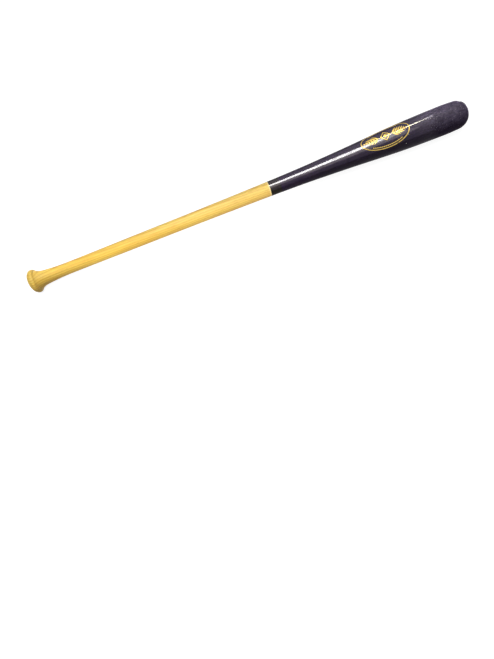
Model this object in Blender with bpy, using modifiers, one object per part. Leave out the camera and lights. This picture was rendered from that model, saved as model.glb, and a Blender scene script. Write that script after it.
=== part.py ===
# A long, slim wooden baseball bat, lying along +X. The origin is the centre of the knob's
# flat end face, +X runs to the barrel's end, and +Z passes through the middle of the label.
# One turned billet carries the bat: the throat band and the barrel's coat lie in the wood
# that was turned down for them, and the label's foil lies on the coat. Metres throughout.

import math

import bmesh
import bpy

# Lengths along the bat. The grip takes up what the others leave of the whole length.
BAT_LENGTH = 0.9398           # 37 in
KNOB_DOME_LENGTH = 0.0105     # end face to the widest part of the rim
KNOB_BACK_LENGTH = 0.0058     # widest part of the rim to the crease
COVE_LENGTH = 0.0155          # tight hollow behind the crease
FLARE_LENGTH = 0.0707         # long hollow that runs out into the grip
LOWER_HANDLE_LENGTH = 0.0900
UPPER_HANDLE_LENGTH = 0.1850
THROAT_LENGTH = 0.0700
LOWER_TAPER_LENGTH = 0.0780
UPPER_TAPER_LENGTH = 0.1735
BARREL_LENGTH = 0.0560
NOSE_LENGTH = 0.0250          # fullest part of the barrel to the end's rounding
END_ROUND_LENGTH = 0.0225

# Diameters, each at the start of the length of that name
KNOB_FACE_DIAMETER = 0.0200
KNOB_DIAMETER = 0.0481
COVE_RISE = 0.0037            # height of the tight hollow above the long one
FLARE_RISE = 0.0047           # height of the long hollow above the grip
GRIP_DIAMETER = 0.0238        # 15/16 in
LOWER_HANDLE_DIAMETER = 0.0252
UPPER_HANDLE_DIAMETER = 0.0259
THROAT_DIAMETER = 0.0295
LOWER_TAPER_DIAMETER = 0.0325
UPPER_TAPER_DIAMETER = 0.0389
BARREL_START_DIAMETER = 0.0556
BARREL_DIAMETER = 0.0568      # 2 1/4 in, nominal
NOSE_DIAMETER = 0.0551
END_FACE_DIAMETER = 0.0230

# Finish layers
PAINTED_LENGTH = 0.4231       # paint line to the barrel's end
BAND_WIDTH = 0.0218
BAND_THICKNESS = 0.0005
COAT_THICKNESS = 0.0005
LAYER_GAP = 0.0003            # between a layer and what it lies on or stops at

# Label: foil shapes inside an oval ring. The oval's height is measured round the barrel.
LABEL_FROM_END = 0.1766       # barrel's end to the middle of the oval
LABEL_LENGTH = 0.1004
LABEL_HEIGHT = 0.0490
RING_WIDTH = 0.0018
FOIL_THICKNESS = 0.0003
FOIL_SPACE = 0.0022           # clear space between the label's shapes
DIAMOND_LINE = 0.0016
DIAMOND_SHARE = 0.46          # of the space inside the ring
CORE_SHARE = 0.5              # of the space inside the diamond
STEM_WIDTH = 0.0012
LEAF_PAIRS = 5
LEAF_SETBACK = 0.4            # root of a leaf, as a share of the pitch between pairs
LEAF_SPACE = 0.0007           # between a leaf and the next one's
LEAF_REACH = 0.62             # height of a leaf, as a share of the free height beside it
LEAF_SLIMNESS = 0.3           # width of a leaf, as a share of its length
LEAF_ANGLE = math.radians(40)
LEAF_BELLY = 0.75             # under 1, a leaf is widest nearer its root
BEADS = 17
BEAD_WIDTH = 0.0022
THREAD_WIDTH = 0.0007         # between beads
GARLAND_TURN = math.radians(42)

# How finely round shapes are divided
SIDES = 40
ROUND_STEPS = 8
BACK_STEPS = 4
COVE_STEPS = 5
FLARE_STEPS = 8
TAPER_STEP = 0.030            # longest distance between turned rings
OVAL_STEPS = 72
BEAD_STEPS = 4
LEAF_STEPS = 5
WRAP_STEP = 0.0030            # widest flat strip of foil round the barrel
WELD = 0.00001
CREASE_ANGLE = math.radians(32)

BAT_NAME = "wooden_baseball_bat"


def clear_scene():
    for item in list(bpy.data.objects):
        bpy.data.objects.remove(item, do_unlink=True)


def make_material(name, colour, roughness, metallic=0.0):
    material = bpy.data.materials.new(name)
    material.use_nodes = True
    shader = material.node_tree.nodes["Principled BSDF"]
    shader.inputs["Base Color"].default_value = (*colour, 1.0)
    shader.inputs["Roughness"].default_value = roughness
    shader.inputs["Metallic"].default_value = metallic
    return material


# The finished outside, as (distance from the knob's end face, radius)

def turning_stations():
    """Where the long, smooth part of the outline is set, from the grip to the nose."""
    from_end = [
        (END_ROUND_LENGTH, NOSE_DIAMETER),
        (NOSE_LENGTH, BARREL_DIAMETER),
        (BARREL_LENGTH, BARREL_START_DIAMETER),
        (UPPER_TAPER_LENGTH, UPPER_TAPER_DIAMETER),
        (LOWER_TAPER_LENGTH, LOWER_TAPER_DIAMETER),
        (THROAT_LENGTH, THROAT_DIAMETER),
        (UPPER_HANDLE_LENGTH, UPPER_HANDLE_DIAMETER),
        (LOWER_HANDLE_LENGTH, LOWER_HANDLE_DIAMETER),
    ]
    stations = []
    distance = BAT_LENGTH
    for length, diameter in from_end:
        distance -= length
        stations.append((distance, diameter / 2))
    crease = KNOB_DOME_LENGTH + KNOB_BACK_LENGTH
    stations.append((crease + FLARE_LENGTH, GRIP_DIAMETER / 2))
    return stations[::-1]


def smooth_radius(stations, distance):
    """Monotone cubic through the stations, so the outline never waves between them."""
    gaps = [b[0] - a[0] for a, b in zip(stations, stations[1:])]
    rises = [(b[1] - a[1]) / gap for a, b, gap in zip(stations, stations[1:], gaps)]
    slopes = [0.0] * len(stations)
    for i in range(1, len(stations) - 1):
        if rises[i - 1] * rises[i] > 0:
            before = 2 * gaps[i] + gaps[i - 1]
            after = gaps[i] + 2 * gaps[i - 1]
            slopes[i] = (before + after) / (before / rises[i - 1] + after / rises[i])
    i = 0
    while i < len(gaps) - 1 and distance > stations[i + 1][0]:
        i += 1
    t = (distance - stations[i][0]) / gaps[i]
    return (
        (2 * t**3 - 3 * t**2 + 1) * stations[i][1]
        + (t**3 - 2 * t**2 + t) * gaps[i] * slopes[i]
        + (3 * t**2 - 2 * t**3) * stations[i + 1][1]
        + (t**3 - t**2) * gaps[i] * slopes[i + 1]
    )


def flare_radius(past_crease):
    """The knob's two hollows, one on the other, from the crease to the grip."""
    cove = max(0.0, 1 - past_crease / COVE_LENGTH) ** 2
    flare = max(0.0, 1 - past_crease / FLARE_LENGTH) ** 2
    return GRIP_DIAMETER / 2 + COVE_RISE * cove + FLARE_RISE * flare


def body_radius(distance):
    """Radius between the knob's crease and the start of the end's rounding."""
    stations = turning_stations()
    if distance < stations[0][0]:
        return flare_radius(distance - KNOB_DOME_LENGTH - KNOB_BACK_LENGTH)
    return smooth_radius(stations, distance)


def spread(start, end, steps):
    return [start + (end - start) * i / steps for i in range(1, steps + 1)]


def knob_outline():
    """End face, domed edge and the rim's back, down to the crease."""
    face = KNOB_FACE_DIAMETER / 2
    rim = KNOB_DIAMETER / 2
    crease = flare_radius(0.0)
    points = [(0.0, 0.0), (0.0, face)]
    for turn in spread(0.0, math.pi / 2, ROUND_STEPS):
        points.append((KNOB_DOME_LENGTH * (1 - math.cos(turn)), face + (rim - face) * math.sin(turn)))
    for turn in spread(0.0, math.pi / 2, BACK_STEPS):
        points.append((KNOB_DOME_LENGTH + KNOB_BACK_LENGTH * math.sin(turn),
                       crease + (rim - crease) * math.cos(turn)))
    return points


def body_outline(start, end):
    """Outline from one distance to another, without its first point."""
    crease = KNOB_DOME_LENGTH + KNOB_BACK_LENGTH
    zones = [crease, crease + COVE_LENGTH] + [station[0] for station in turning_stations()]
    counts = [COVE_STEPS, FLARE_STEPS]
    counts += [math.ceil((high - low) / TAPER_STEP) for low, high in zip(zones[2:], zones[3:])]
    distances = []
    for low, high, count in zip(zones, zones[1:], counts):
        distances += spread(low, high, count)
    inside = [d for d in distances if start + WELD < d < end - WELD]
    return [(d, body_radius(d)) for d in inside + [end]]


def end_outline():
    """Elliptical rounding of the barrel's end, and its flat middle."""
    side = NOSE_DIAMETER / 2
    face = END_FACE_DIAMETER / 2
    start = BAT_LENGTH - END_ROUND_LENGTH
    points = []
    for turn in spread(0.0, math.pi / 2, ROUND_STEPS):
        points.append((start + END_ROUND_LENGTH * math.sin(turn),
                       face + (side - face) * math.cos(turn)))
    return points + [(BAT_LENGTH, 0.0)]


def sunk(points, depth):
    """The same outline, moved square to itself into the wood."""
    moved = []
    for i, (distance, radius) in enumerate(points):
        if radius < WELD:
            moved.append((distance - depth, 0.0))
            continue
        before = points[max(i - 1, 0)]
        after = points[min(i + 1, len(points) - 1)]
        along = after[0] - before[0]
        out = after[1] - before[1]
        length = math.hypot(along, out)
        moved.append((distance + depth * out / length, radius - depth * along / length))
    return moved


# Turned pieces

def turned(name, outline, material, collection, wall=0.0):
    """Turn an outline about the bat's axis. A wall makes an open outline a shell."""
    mesh = bpy.data.meshes.new(name)
    points = [(distance, radius, 0.0) for distance, radius in reversed(outline)]
    mesh.from_pydata(points, [(i, i + 1) for i in range(len(points) - 1)], [])
    piece = bpy.data.objects.new(name, mesh)
    collection.objects.link(piece)
    screw = piece.modifiers.new("turning", 'SCREW')
    screw.axis = 'X'
    screw.steps = SIDES
    screw.render_steps = SIDES
    screw.use_merge_vertices = True
    screw.merge_threshold = WELD
    if wall:
        shell = piece.modifiers.new("wall", 'SOLIDIFY')
        shell.thickness = wall
        shell.offset = -1.0
        shell.use_even_offset = True
    return finished(piece, material)


def finished(piece, material):
    """Swap the piece's mesh for its evaluated one, shaded smooth between its sharp edges."""
    evaluated = piece.evaluated_get(bpy.context.evaluated_depsgraph_get())
    mesh = bpy.data.meshes.new_from_object(evaluated)
    piece.modifiers.clear()
    piece.data = mesh
    mesh.name = piece.name
    mesh.materials.clear()
    mesh.materials.append(material)
    mesh.shade_smooth()
    mesh.set_sharp_from_angle(angle=CREASE_ANGLE)
    return piece


def paint_line():
    return BAT_LENGTH - PAINTED_LENGTH


def band_end():
    return paint_line() + BAND_WIDTH


def outside(start, end):
    """The bat's outside from one distance to another, both ends included."""
    return [(start, body_radius(start))] + body_outline(start, end)


def coat_outline():
    """The painted barrel's outside, from its open edge round to the middle of the end."""
    return outside(band_end() + LAYER_GAP, BAT_LENGTH - END_ROUND_LENGTH) + end_outline()


def make_billet(material, collection):
    """Knob, handle and barrel in one piece of wood, turned down under the finish layers."""
    band_floor = BAND_THICKNESS + LAYER_GAP
    coat_floor = COAT_THICKNESS + LAYER_GAP
    crease = KNOB_DOME_LENGTH + KNOB_BACK_LENGTH
    outline = knob_outline() + body_outline(crease, paint_line())
    outline += [(distance, radius - band_floor)
                for distance, radius in outside(paint_line(), band_end())]
    outline += sunk(coat_outline(), coat_floor)
    return turned("billet", outline, material, collection)


def make_throat_band(material, collection):
    outline = outside(paint_line() + LAYER_GAP, band_end())
    return turned("throat_band", outline, material, collection, BAND_THICKNESS)


def make_barrel_coat(material, collection):
    return turned("barrel_coat", coat_outline(), material, collection, COAT_THICKNESS)


# Foil shapes, drawn flat as (along the bat, round the barrel) from the label's middle

def oval(half_length, half_height):
    return [(half_length * math.cos(turn), half_height * math.sin(turn))
            for turn in spread(0.0, math.tau, OVAL_STEPS)]


def diamond(half_width):
    return [(half_width, 0.0), (0.0, half_width), (-half_width, 0.0), (0.0, -half_width)]


def ring_inside():
    """Half length and half height of the space inside the ring."""
    return LABEL_LENGTH / 2 - RING_WIDTH, LABEL_HEIGHT / 2 - RING_WIDTH


def garland_middle():
    """Half length and half height of the oval that the garlands follow."""
    half_length, half_height = ring_inside()
    inset = FOIL_SPACE + BEAD_WIDTH / 2
    return half_length - inset, half_height - inset


def diamond_half_width():
    return DIAMOND_SHARE * ring_inside()[1]


def garland_shape(side):
    """A line of beads that follows the ring, on one long side of the label."""
    half_length, half_height = garland_middle()
    outer, inner = [], []
    steps = BEADS * BEAD_STEPS
    for i in range(steps + 1):
        swell = math.sin(math.pi * i / BEAD_STEPS) ** 2
        half_width = (THREAD_WIDTH + (BEAD_WIDTH - THREAD_WIDTH) * swell) / 2
        turn = math.pi / 2 + GARLAND_TURN * (1 - 2 * i / steps)
        x, y = half_length * math.cos(turn), half_height * math.sin(turn)
        out_x, out_y = half_height * math.cos(turn), half_length * math.sin(turn)
        out = math.hypot(out_x, out_y)
        outer.append((x + half_width * out_x / out, y + half_width * out_y / out))
        inner.append((x - half_width * out_x / out, y - half_width * out_y / out))
    return [(x, side * y) for x, y in outer + inner[::-1]]


def leaf_edges(root, length, width, angle):
    """A pointed leaf's two edges, from its root to its tip and from its tip back."""
    back, front = [], []
    for t in spread(0.0, 1.0, LEAF_STEPS)[:-1]:
        half_width = math.sin(math.pi * t**LEAF_BELLY) * width / 2
        x = root[0] + t * length * math.cos(angle)
        y = root[1] + t * length * math.sin(angle)
        back.append((x - half_width * math.sin(angle), y + half_width * math.cos(angle)))
        front.append((x + half_width * math.sin(angle), y - half_width * math.cos(angle)))
    tip = (root[0] + length * math.cos(angle), root[1] + length * math.sin(angle))
    return back + [tip] + front[::-1]


def sprig_shape(side):
    """A stem with pairs of leaves, drawn as one outline, that ends in a single leaf."""
    half_stem = STEM_WIDTH / 2
    start = diamond_half_width() + FOIL_SPACE
    reach = ring_inside()[0] - FOIL_SPACE - start
    pitch = reach / (LEAF_PAIRS + 1)
    widest = pitch * math.sin(LEAF_ANGLE) - LEAF_SPACE
    half_length, half_height = garland_middle()
    edge = [(start, half_stem)]
    for pair in range(LEAF_PAIRS):
        root_x = start + pitch * (pair + LEAF_SETBACK)
        across = 1 - ((root_x + pitch / 2) / half_length) ** 2
        free = half_height * math.sqrt(max(0.0, across)) - BEAD_WIDTH / 2 - FOIL_SPACE - half_stem
        length = LEAF_REACH * free / math.sin(LEAF_ANGLE)
        edge.append((root_x - half_stem, half_stem))
        width = min(widest, LEAF_SLIMNESS * length)
        edge += leaf_edges((root_x, half_stem), length, width, LEAF_ANGLE)
        edge.append((root_x + half_stem, half_stem))
    stem_end = start + pitch * LEAF_PAIRS
    edge.append((stem_end, half_stem))
    tip_leaf = leaf_edges((stem_end, 0.0), pitch, LEAF_SLIMNESS * pitch, 0.0)
    edge += tip_leaf[:LEAF_STEPS]
    under = [(x, -y) for x, y in edge[-2::-1]]
    return [(side * x, y) for x, y in edge + under]


def lay_on_barrel(mesh):
    """Cut flat foil into narrow strips, then wrap it round the coated barrel."""
    middle = BAT_LENGTH - LABEL_FROM_END
    label_radius = body_radius(middle)
    foil = bmesh.new()
    foil.from_mesh(mesh)
    bmesh.ops.remove_doubles(foil, verts=foil.verts, dist=WELD)
    strips = math.ceil(LABEL_HEIGHT / 2 / WRAP_STEP)
    for strip in range(-strips, strips + 1):
        bmesh.ops.bisect_plane(foil, geom=foil.verts[:] + foil.edges[:] + foil.faces[:],
                               dist=WELD, plane_co=(0.0, strip * WRAP_STEP, 0.0),
                               plane_no=(0.0, 1.0, 0.0))
    for vertex in foil.verts:
        along, across, height = vertex.co
        radius = body_radius(middle + along) + LAYER_GAP + FOIL_THICKNESS / 2 + height
        turn = across / label_radius
        vertex.co = (middle + along, radius * math.sin(turn), radius * math.cos(turn))
    foil.to_mesh(mesh)
    foil.free()


def make_foil(name, material, collection, *shapes):
    """Foil of one thickness, cut to a closed outline. A second one inside it is a hole."""
    curve = bpy.data.curves.new(name, 'CURVE')
    curve.dimensions = '2D'
    curve.fill_mode = 'BOTH'
    curve.extrude = FOIL_THICKNESS / 2
    for shape in shapes:
        spline = curve.splines.new('POLY')
        spline.points.add(len(shape) - 1)
        for point, (x, y) in zip(spline.points, shape):
            point.co = (x, y, 0.0, 1.0)
        spline.use_cyclic_u = True
    flat = bpy.data.objects.new(name + "_flat", curve)
    collection.objects.link(flat)
    evaluated = flat.evaluated_get(bpy.context.evaluated_depsgraph_get())
    mesh = bpy.data.meshes.new_from_object(evaluated)
    bpy.data.objects.remove(flat, do_unlink=True)
    bpy.data.curves.remove(curve)
    lay_on_barrel(mesh)
    piece = bpy.data.objects.new(name, mesh)
    collection.objects.link(piece)
    return finished(piece, material)


def build():
    clear_scene()
    bat = bpy.data.collections.new(BAT_NAME)
    bpy.context.scene.collection.children.link(bat)

    wood = make_material("lacquered_wood", (0.78, 0.50, 0.15), 0.32)
    band_black = make_material("band_black", (0.012, 0.012, 0.009), 0.18)
    barrel_navy = make_material("barrel_navy", (0.020, 0.017, 0.034), 0.20)
    gold_foil = make_material("gold_foil", (0.83, 0.60, 0.16), 0.30, 1.0)

    make_billet(wood, bat)
    make_throat_band(band_black, bat)
    make_barrel_coat(barrel_navy, bat)
    half_width = diamond_half_width()
    inside = half_width - DIAMOND_LINE * math.sqrt(2)
    make_foil("label_ring", gold_foil, bat,
              oval(LABEL_LENGTH / 2, LABEL_HEIGHT / 2), oval(*ring_inside()))
    make_foil("label_diamond", gold_foil, bat, diamond(half_width), diamond(inside))
    make_foil("label_diamond_core", gold_foil, bat, diamond(CORE_SHARE * inside))
    make_foil("label_sprig_handle_side", gold_foil, bat, sprig_shape(-1))
    make_foil("label_sprig_end_side", gold_foil, bat, sprig_shape(1))
    make_foil("label_garland_near", gold_foil, bat, garland_shape(-1))
    make_foil("label_garland_far", gold_foil, bat, garland_shape(1))


build()
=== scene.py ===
# Looks for a long, slim wooden baseball bat: one turned piece of lacquered wood, a black throat
# band, a dark lacquered barrel with a gold foil label, on a plain pale floor in studio light.
# The bat lies along X, its knob at the origin, and its label faces up.

import math

import bpy
from mathutils import Matrix, Vector


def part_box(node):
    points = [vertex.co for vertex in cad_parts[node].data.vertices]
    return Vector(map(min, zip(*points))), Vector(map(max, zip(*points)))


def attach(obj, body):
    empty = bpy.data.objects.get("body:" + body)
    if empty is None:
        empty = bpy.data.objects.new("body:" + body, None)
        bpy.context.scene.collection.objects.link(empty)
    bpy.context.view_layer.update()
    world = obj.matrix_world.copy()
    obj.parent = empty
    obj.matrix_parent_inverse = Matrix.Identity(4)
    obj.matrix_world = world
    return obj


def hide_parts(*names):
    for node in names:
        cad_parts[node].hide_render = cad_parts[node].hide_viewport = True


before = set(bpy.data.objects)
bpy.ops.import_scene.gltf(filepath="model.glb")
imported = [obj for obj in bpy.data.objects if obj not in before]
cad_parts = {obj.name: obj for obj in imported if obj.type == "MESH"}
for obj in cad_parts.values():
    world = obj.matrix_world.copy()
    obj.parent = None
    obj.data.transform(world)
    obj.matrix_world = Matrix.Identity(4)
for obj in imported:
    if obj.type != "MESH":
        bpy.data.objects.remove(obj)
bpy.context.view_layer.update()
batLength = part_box("barrel_coat")[1].x
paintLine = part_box("throat_band")[0].x
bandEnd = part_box("throat_band")[1].x
print("frame: %d nodes, bat %.1f mm long" % (len(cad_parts), batLength * 1000))


# Small helpers for node trees. The ones with a 1 in their name give back one output.

def newTree(name, kind, inputs, outputs):
    tree = bpy.data.node_groups.new(name, kind)
    for socketName, kindOfSocket, value in inputs:
        socket = tree.interface.new_socket(
            socketName, in_out='INPUT', socket_type="NodeSocket" + kindOfSocket)
        if value is not None:
            socket.default_value = value
    for socketName, kindOfSocket in outputs:
        tree.interface.new_socket(socketName, in_out='OUTPUT', socket_type="NodeSocket" + kindOfSocket)
    return tree, tree.nodes.new("NodeGroupInput").outputs, tree.nodes.new("NodeGroupOutput").inputs


def feed(tree, socket, value):
    # a socket is linked, anything else becomes the default value
    if isinstance(value, bpy.types.NodeSocket):
        tree.links.new(value, socket)
    else:
        socket.default_value = value


def feedAll(tree, sockets, values):
    for name, value in values.items():
        feed(tree, sockets[name], value)


def addNode(tree, kind, values=None, **settings):
    node = tree.nodes.new(kind)
    for name, setting in settings.items():
        setattr(node, name, setting)
    feedAll(tree, node.inputs, values or {})
    return node


def node1(tree, kind, values=None, **settings):
    return addNode(tree, kind, values, **settings).outputs[0]


def math1(tree, operation, *values):
    node = tree.nodes.new("ShaderNodeMath")
    node.operation = operation
    for socket, value in zip(node.inputs, values):
        feed(tree, socket, value)
    return node.outputs[0]


def vector1(tree, operation, *values):
    node = tree.nodes.new("ShaderNodeVectorMath")
    node.operation = operation
    for socket, value in zip(node.inputs, values):
        feed(tree, socket, value)
    return node.outputs["Value" if operation in ("LENGTH", "DISTANCE", "DOT_PRODUCT") else "Vector"]


def times(tree, first, second):
    return math1(tree, 'MULTIPLY', first, second)


def within(tree, share, ends):
    # the first end where the share is 0, the second where it is 1
    return math1(tree, 'ADD', ends[0], times(tree, share, ends[1] - ends[0]))


def splitXyz(tree, vector):
    return addNode(tree, "ShaderNodeSeparateXYZ", {"Vector": vector}).outputs


def joinXyz(tree, x, y, z):
    return node1(tree, "ShaderNodeCombineXYZ", {"X": x, "Y": y, "Z": z})


def ramp(tree, value, low, high, smooth=True):
    # 0 below low, 1 above high; swapped ends give a falling ramp
    node = tree.nodes.new("ShaderNodeMapRange")
    node.interpolation_type = 'SMOOTHSTEP' if smooth else 'LINEAR'
    for socket, part in zip(node.inputs, (value, low, high, 0.0, 1.0)):
        feed(tree, socket, part)
    return node.outputs[0]


def mixColour(tree, share, first, second):
    node = tree.nodes.new("ShaderNodeMix")
    node.data_type = 'RGBA'
    for socket, part in zip((node.inputs[0], node.inputs[6], node.inputs[7]), (share, first, second)):
        if isinstance(part, tuple) and len(part) == 3:
            part = (*part, 1.0)
        feed(tree, socket, part)
    return node.outputs[2]


def layered(tree, colour, layers):
    # each layer has a mask, and its colour with the most of it that shows
    for mask, (layerColour, share) in layers:
        colour = mixColour(tree, times(tree, mask, share), colour, layerColour)
    return colour


def noise(tree, vector, scale, detail, roughness=0.5):
    return node1(tree, "ShaderNodeTexNoise", {
        "Vector": vector, "Scale": scale, "Detail": detail, "Roughness": roughness})


# The camera looks down on the bat and is rolled, so that the bat rises to the right

cameraView = {
    "tilt": 17.1,           # degrees off straight down
    "roll": 21.548,
    "distance": 0.9596,     # to the plane of the bat's axis
    "along": 0.3709,        # where the middle of the picture lies along the bat
    "below": 0.2473,        # and how far below it
    "lens": 26.0,
    "sensor": 36.0,
}


def makeCamera(values):
    tilt = math.radians(values["tilt"])
    roll = math.radians(values["roll"])
    ahead = Vector((0, math.sin(tilt), -math.cos(tilt)))
    high = Vector((0, math.cos(tilt), math.sin(tilt)))
    side = Vector((1, 0, 0))
    right = math.cos(roll) * side - math.sin(roll) * high
    up = math.sin(roll) * side + math.cos(roll) * high
    data = bpy.data.cameras.new("camera")
    data.lens = values["lens"]
    data.sensor_width = values["sensor"]
    camera = bpy.data.objects.new("camera", data)
    camera.location = (Vector((values["along"], 0, 0)) - ahead * values["distance"]
                       - high * values["below"])
    camera.rotation_euler = Matrix((right, up, -ahead)).transposed().to_euler()
    bpy.context.scene.collection.objects.link(camera)
    bpy.context.scene.camera = camera


makeCamera(cameraView)
print("camera: ready")


# Shader groups. All of them read Object coordinates, in metres, with X along the bat.

grainPatterns = {
    # how each is squeezed along X, Y and Z, then its scale, detail and roughness
    "swirl": ((2.6, 9.0, 9.0), 1.0, 2.0, 0.5),
    "fibre": ((0.022, 1.0, 1.0), 1100.0, 3.0, 0.6),
    "streak": ((0.012, 1.0, 1.0), 330.0, 2.0, 0.6),
    "pore": ((0.05, 1.0, 1.0), 2600.0, 1.0, 0.5),
    "figure": ((0.35, 1.0, 1.0), 38.0, 2.0, 0.5),
    "ringSharpness": 4.0,
    "ringFall": (1.0, 0.92),
    "earlyWood": (0.5, 0.15),
    "poreEdge": (0.60, 0.70),
    "streakEdge": (0.47, 0.62),
}


def woodGrainGroup(values):
    # growth rings round a distant pith, fibres and open pores, as a solid pattern
    tree, given, result = newTree("wood grain", "ShaderNodeTree", [
        ("Vector", "Vector", None),
        ("Ring Width", "Float", 0.003),
        ("Pith Side", "Float", 0.09),
        ("Pith Depth", "Float", 0.11),
        ("Lean", "Float", 0.02),
        ("Wander", "Float", 0.010),
    ], [("Ring", "Float"), ("Year", "Float"), ("Fibre", "Float"),
        ("Pore", "Float"), ("Streak", "Float"), ("Figure", "Float")])

    def pattern(name):
        squeeze, scale, detail, roughness = values[name]
        return noise(tree, vector1(tree, 'MULTIPLY', given["Vector"], squeeze), scale, detail, roughness)

    x, y, z = splitXyz(tree, given["Vector"])
    fromPith = vector1(tree, 'LENGTH', joinXyz(
        tree, 0.0, math1(tree, 'ADD', y, given["Pith Side"]), math1(tree, 'ADD', z, given["Pith Depth"])))
    leaning = math1(tree, 'ADD', fromPith, times(tree, x, given["Lean"]))
    depth = math1(tree, 'ADD', leaning, times(tree, pattern("swirl"), given["Wander"]))
    years = math1(tree, 'DIVIDE', depth, given["Ring Width"])
    phase = math1(tree, 'FRACT', years)
    rising = math1(tree, 'POWER', phase, values["ringSharpness"])
    year = math1(tree, 'FLOOR', years)
    pores = ramp(tree, pattern("pore"), *values["poreEdge"])
    feedAll(tree, result, {
        "Ring": times(tree, rising, ramp(tree, phase, *values["ringFall"])),
        "Year": node1(tree, "ShaderNodeTexWhiteNoise", {"W": year}, noise_dimensions='1D'),
        "Fibre": pattern("fibre"),
        "Pore": times(tree, pores, ramp(tree, phase, *values["earlyWood"])),
        "Streak": ramp(tree, pattern("streak"), *values["streakEdge"]),
        "Figure": pattern("figure")})
    return tree


scuffPatterns = {
    "mottle": (4.0, 0.62),           # the noise's detail and roughness
    "coverEdge": (0.75, 0.25),       # how much mottle a patch needs, for no cover and full cover
    "patchSoftness": 0.08,
    "lengthwise": {"squeeze": 0.04, "scale": 1500.0, "edge": (0.70, 0.76)},
    "crosswise": {"squeeze": 0.08, "scale": 1300.0, "edge": (0.72, 0.78), "askew": 0.45},
    "chipCells": 0.35,               # in one chip's size
    "chipRagged": (1.2, 0.35),       # how fine a chip's edge is, and how deep
    "chipRare": (0.62, 0.64),        # the share of the cells that stay whole
    "chipEdge": (0.42, 0.30),
    "lineDetail": 1.0,
}


def scuffsGroup(values):
    # rubbed patches, fine scratches both ways, and small chips
    tree, given, result = newTree("scuffs", "ShaderNodeTree", [
        ("Vector", "Vector", None),
        ("Patch Size", "Float", 0.010),
        ("Cover", "Float", 0.3),
        ("Chip Size", "Float", 0.004),
    ], [("Patches", "Float"), ("Scratches", "Float"), ("Chips", "Float"),
        ("Mottle", "Float")])
    vector = given["Vector"]
    mottle = noise(tree, vector, math1(tree, 'DIVIDE', 1.0, given["Patch Size"]), *values["mottle"])
    edge = within(tree, given["Cover"], values["coverEdge"])
    softness = values["patchSoftness"]
    x, y, z = splitXyz(tree, vector)
    lengthwise, crosswise = values["lengthwise"], values["crosswise"]
    alongLines = vector1(tree, 'MULTIPLY', vector, (lengthwise["squeeze"], 1.0, 1.0))
    askew = math1(tree, 'ADD', x, times(tree, math1(tree, 'SUBTRACT', y, z), crosswise["askew"]))
    squeeze = crosswise["squeeze"]
    acrossLines = joinXyz(tree, askew, times(tree, y, squeeze), times(tree, z, squeeze))
    cell = addNode(tree, "ShaderNodeTexVoronoi", {
        "Vector": vector, "Scale": math1(tree, 'DIVIDE', values["chipCells"], given["Chip Size"])})
    fineness, raggedness = values["chipRagged"]
    detail = values["lineDetail"]
    ragged = noise(tree, vector, math1(tree, 'DIVIDE', fineness, given["Chip Size"]), detail)
    rim = math1(tree, 'ADD', cell.outputs["Distance"], times(tree, ragged, raggedness))
    rare = ramp(tree, splitXyz(tree, cell.outputs["Color"])[0], *values["chipRare"])
    feedAll(tree, result, {
        "Patches": ramp(tree, mottle, math1(tree, 'SUBTRACT', edge, softness),
                        math1(tree, 'ADD', edge, softness)),
        "Scratches": math1(
            tree, 'MAXIMUM',
            ramp(tree, noise(tree, alongLines, lengthwise["scale"], detail), *lengthwise["edge"]),
            ramp(tree, noise(tree, acrossLines, crosswise["scale"], detail), *crosswise["edge"])),
        "Chips": times(tree, ramp(tree, rim, *values["chipEdge"]), rare),
        "Mottle": mottle})
    return tree


woodGrain = woodGrainGroup(grainPatterns)
scuffs = scuffsGroup(scuffPatterns)


def newMaterial(name, constants):
    material = bpy.data.materials.new(name)
    material.use_nodes = True
    tree = material.node_tree
    shader = tree.nodes["Principled BSDF"]
    feedAll(tree, shader.inputs, constants)
    return material, tree, shader, tree.nodes.new("ShaderNodeTexCoord").outputs["Object"]


def useGroup(tree, group, values):
    return addNode(tree, "ShaderNodeGroup", values, node_tree=group).outputs


def bump(tree, height, distance):
    return node1(tree, "ShaderNodeBump", {"Height": height, "Distance": distance})


# Wood. In each material, a layer is its colour and the most of it that shows.

lacqueredWood = {
    "finish": {"Roughness": 0.40, "Specular IOR Level": 0.18, "Coat Weight": 0.08,
               "Coat Roughness": 0.15},
    "colour": (0.93, 0.64, 0.108),
    "pale": ((0.93, 0.70, 0.23), 0.62),
    "streak": ((0.95, 0.80, 0.19), 0.45),
    "late": ((0.52, 0.21, 0.025), 1.0),
    "figure": ((0.70, 0.32, 0.040), 0.22),
    "fibre": ((0.70, 0.32, 0.040), 0.30),
    "pore": ((0.40, 0.19, 0.03), 0.45),
    # painted shade: darker wood along the knob's concave crease, where shade falls
    "crease": ((0.50, 0.30, 0.08), 0.16),
    "bare": ((0.93, 0.76, 0.38), 0.75),
    "ringWidth": 0.0040,
    "paleReach": (0.20, 0.50),       # from the knob's end
    "lateShares": (0.60, 1.00),      # the faintest year's ring and the strongest
    "figureEdge": (0.3, 0.7),
    "fibreEdge": (0.35, 0.75),
    "creaseShadeWidth": 0.0060,
    "bareWidth": 0.0035,             # of paler wood beside the paint
    "fibreRelief": 0.3,              # beside a pore's depth
    "relief": 0.00006,
}


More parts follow.
